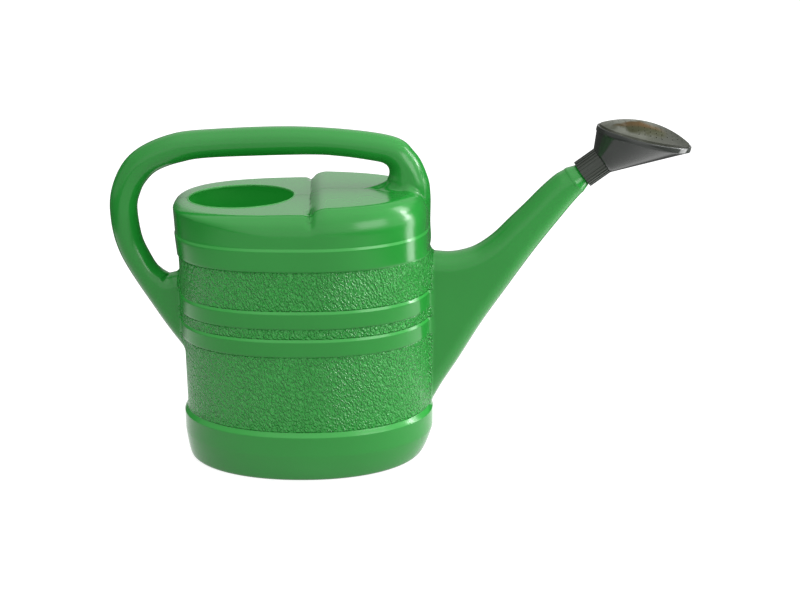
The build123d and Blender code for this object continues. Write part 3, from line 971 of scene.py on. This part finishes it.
# Less gloss on seam and crease, part of the same painted shade
painted_shade_lines = calc(tree, "MAXIMUM", times(tree, seam_and_shade, 0.6), times(tree, crease_shade, 0.6))
gloss = scaled(tree, painted_shade_lines, -0.45, 0.5)
normal = bump(tree, times(tree, use_group(tree, leather_grain), panel), 1.0, 1.9 * MM)
normal = bump(tree, seam_and_shade, 0.6, 0.4 * MM, Normal=normal)
finish(green, color, rough, {"Specular IOR Level": gloss, "IOR": 1.51, "Normal": normal})

# %% [markdown]
# ### Green lip
# The hole's edge was trimmed with a knife. Its paler green is a painted highlight for the light that shines
# through the thin cut edge.

# %% Green lip
lip_painted_highlight, tree = new_material("lip_painted_highlight")
# Painted highlight: the paler green of the lip stands for light shining through its edge
_, color = changed_color(tree, 60.0, (0.05, 0.36, 0.07), (0.09, 0.44, 0.11))
finish(lip_painted_highlight, color, 0.4)

# %% [markdown]
# ### Green inside
# Daylight comes through the thin wall as well as through the hole, so the inside glows in a
# deeper green than the outside. A little light of its own stands in for what the wall lets in.
# Real translucency would need far more light paths for the same look.

# %% Green inside
green_inside, tree = new_material("green_inside")
_, color = changed_color(tree, 20.0, (0.007, 0.24, 0.018), (0.009, 0.26, 0.022))
finish(green_inside, color, 0.55, {"Emission Color": (0.02, 0.5, 0.05), "Emission Strength": 0.2})

# %% [markdown]
# ### Black collar and funnel
# The ribbed collar is satin and the funnel is polished. On a polished black the dust shows as
# much as the plastic does, so a slow drift between two near blacks stands for it. The funnel is
# also a little paler near the collar.

# %% Black collar and funnel
FUNNEL_NEAR, FUNNEL_FAR = 0.31, 0.345  # X where the paler part of the funnel fades out

black_collar, tree = new_material("black_collar")
change, color = changed_color(tree, 40.0, (0.026, 0.032, 0.024), (0.034, 0.042, 0.032))
finish(black_collar, color, scaled(tree, change, 0.08, 0.36))

black_funnel, tree = new_material("black_funnel")
_, color = changed_color(tree, 14.0, (0.013, 0.016, 0.014), (0.034, 0.038, 0.034))
place, x, y, z = place_of(tree)
color = mix_color(tree, remap(tree, x, FUNNEL_FAR, FUNNEL_NEAR), color, (0.03, 0.034, 0.03))
change = use_group(tree, slow_change, Scale=30.0)
finish(black_funnel, color, scaled(tree, change, 0.05, 0.1))

# %% [markdown]
# ### Black face
# The face is a lighter, warmer black with hardly any gloss, and darker towards its front. A
# patch of dried soil sticks on the side of the dome that looks towards -Y. It is an oval whose
# edge the slow change makes ragged, and drier parts of it are browner. It is only colour,
# because such a film of soil is too thin to shape.

# %% Black face
FACE_REAR, FACE_FRONT = 0.335, 0.385  # X between which the face gets darker
SOIL_MIDDLE, SOIL_REACH = (0.342, -0.016), (0.026, 0.0155)
DRY_FROM, DRY_TO = -0.021, -0.012  # Y between which the soil gets drier

black_face, tree = new_material("black_face")
change, color = changed_color(tree, 45.0, (0.07, 0.075, 0.058), (0.135, 0.142, 0.118))
place, x, y, z = place_of(tree)
apart = times(tree, change, 0.8)
for value, middle, reach in zip((x, y), SOIL_MIDDLE, SOIL_REACH):
    share = scaled(tree, value, 1.0 / reach, -middle / reach)
    apart = calc(tree, "ADD", calc(tree, "POWER", share, 2.0), apart)
soil = remap(tree, apart, 1.5, 0.8)
color = mix_color(tree, remap(tree, x, FACE_REAR, FACE_FRONT), color, (0.026, 0.028, 0.022))
dry = times(tree, remap(tree, y, DRY_FROM, DRY_TO), scaled(tree, change, 0.9, 0.2))
earth = mix_color(tree, dry, (0.045, 0.047, 0.028), (0.085, 0.054, 0.027))
color, gloss = mix_color(tree, soil, color, earth), scaled(tree, soil, -0.1, 0.1)
finish(black_face, color, scaled(tree, soil, 0.3, 0.5), {"Specular IOR Level": gloss})

# %% [markdown]
# ### Finishes onto pieces
# The drawn pieces have no material yet. Collar and face are the frame's own solids, so their
# plain material is cleared first.

# %% Put the finishes on
pairs = ((can, green), (neck, green), (lip, lip_painted_highlight), (inner, green_inside), (funnel, black_funnel))
for piece, material in pairs:
    piece.data.materials.append(material)
for node, material in (("rose_collar", black_collar), ("rose_face", black_face)):
    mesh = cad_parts[node].data
    mesh.materials.clear()
    mesh.materials.append(material)
print("finishes", [material.name for material in bpy.data.materials if material.users])

# %% [markdown]
# ## Floor
# The can stands on white paper 1.6 m wide, which ends 0.24 m behind the can's middle. Beside the
# paper and beyond it the floor is darker, and that darkness draws the deep green strips down
# the sides of handle and tank. The camera sees the floor plain white, with the can's faint
# shadow on it. In mirror images the paper shines more the further back it lies.

# %% Floor
PAPER_HALF, PAPER_END, FLOOR_HALF = 0.8, 0.24, 4
WHITE_SEEN, MORE_BESIDE = 0.8, 0.35

floor_mesh = bpy.data.meshes.new("floor")
corners = [(-FLOOR_HALF, -FLOOR_HALF, 0), (FLOOR_HALF, -FLOOR_HALF, 0)]
corners += [(FLOOR_HALF, FLOOR_HALF, 0), (-FLOOR_HALF, FLOOR_HALF, 0)]
floor_mesh.from_pydata(corners, [], [(0, 1, 2, 3)])
floor = add_object("floor", floor_mesh)

table, tree = new_material("white_table")
place, x, y, z = place_of(tree)
beside = remap(tree, calc(tree, "ABSOLUTE", x), PAPER_HALF - 0.05, PAPER_HALF + 0.05)
beside = calc(tree, "MAXIMUM", beside, remap(tree, y, PAPER_END - 0.1, PAPER_END + 0.1))
color = mix_color(tree, beside, (0.38, 0.38, 0.38), (0.1, 0.1, 0.1))
rays = add_node(tree, "LightPath", {})
brightness = scaled(tree, beside, MORE_BESIDE, WHITE_SEEN)
seen = times(tree, rays["Is Camera Ray"], brightness)
on_paper = calc(tree, "SUBTRACT", 1.0, beside)
mirrored = times(tree, rays["Is Glossy Ray"], on_paper, remap(tree, y, -0.35, 0.1, 0.38, 0.85))
shine = calc(tree, "ADD", seen, mirrored)
shine = {"Emission Color": (1.0, 1.0, 1.0), "Emission Strength": shine}
finish(table, color, 0.8, {"Specular IOR Level": 0.0, **shine})
floor_mesh.materials.append(table)

# %% [markdown]
# ## Room
# The room round the can is a white studio: brighter in front and overhead, dimmer to the left,
# a little dimmer low down, and with dark zones behind, on both sides of a narrow white strip.
# It lights the can, and the gloss mirrors it; seen directly the room is plain white. A few soft
# steps over the direction of the ray are enough for it, and no picture of a room is needed.

# %% Room
DARK_LEVEL, FRONT_LEVEL = 0.12, 1.22
LOW_LEVEL, LEFT_LEVEL, TOP_LEVEL = 0.76, 0.5, 1.25

room = bpy.data.worlds.new("studio")
bpy.context.scene.world = room
room.use_nodes = True
tree = room.node_tree
toward = add_node(tree, "TexCoord", {})["Generated"]
toward = add_node(tree, "VectorMath", {0: toward}, operation="NORMALIZE")[0]
x, y, z = add_node(tree, "SeparateXYZ", {0: toward})
level = calc(tree, "SQRT", calc(tree, "SUBTRACT", 1.0, times(tree, z, z)))
back = calc(tree, "DIVIDE", y, calc(tree, "MAXIMUM", level, 0.01))
dark = times(tree, remap(tree, back, 0.1, 0.35), remap(tree, back, 0.988, 0.94), remap(tree, z, 0.5, 0.3))
rising = remap(tree, z, 0.2, 0.32, LOW_LEVEL, 1.0)
front = calc(tree, "SUBTRACT", FRONT_LEVEL, rising)
sheet = scaled(tree, remap(tree, y, 0.3, -0.3), front, rising)
sheet = times(tree, sheet, remap(tree, x, -0.25, -0.75, 1.0, LEFT_LEVEL))
sheet = times(tree, sheet, remap(tree, z, 0.45, 0.9, 1.0, TOP_LEVEL))
shade = scaled(tree, dark, calc(tree, "SUBTRACT", DARK_LEVEL, sheet), sheet)
studio = add_node(tree, "CombineColor", {0: shade, 1: shade, 2: shade})[0]
seen = add_node(tree, "LightPath", {})["Is Camera Ray"]
color = mix_color(tree, seen, studio, (1.0, 1.0, 1.0))
fill(tree, tree.nodes["Background"], {"Color": color, "Strength": 1.0})
print("room", room.name, len(tree.nodes), "nodes")

# %% [markdown]
# ## Soft boxes
# Three area lights do the rest. A tall narrow one and a narrow bright strip beside it stand to
# the right, beyond the rose; they draw the long streaks down leg and spout. A larger one stands
# in front to the right and lights the wall that faces the camera.


# %% Soft boxes
def soft_box(name, place, aim, size, power):
    """A rectangular area light that looks at a point, and that the camera doesn't see."""
    light = bpy.data.lights.new(name, "AREA")
    light.shape = "RECTANGLE"
    light.size, light.size_y = size
    light.energy = power
    lamp = add_object(name, light)
    lamp.location = place
    lamp.visible_camera = False
    lamp.rotation_euler = (Vector(aim) - Vector(place)).to_track_quat("-Z", "Y").to_euler()


soft_box("tall_box", (0.66, 0.02, 0.36), (0.1, 0.0, 0.2), (0.17, 0.72), 2.3)
soft_box("bright_strip", (0.65, -0.02, 0.43), (0.1, 0.0, 0.3), (0.05, 0.26), 1.0)
soft_box("front_box", (0.94, -0.93, 0.52), (0.1, 0.0, 0.2), (0.66, 0.4), 2.8)

# %% [markdown]
# ## Colour view
# The colours are shown as they are, without a film look.

# %% Colour view
bpy.context.scene.view_settings.view_transform = "Standard"
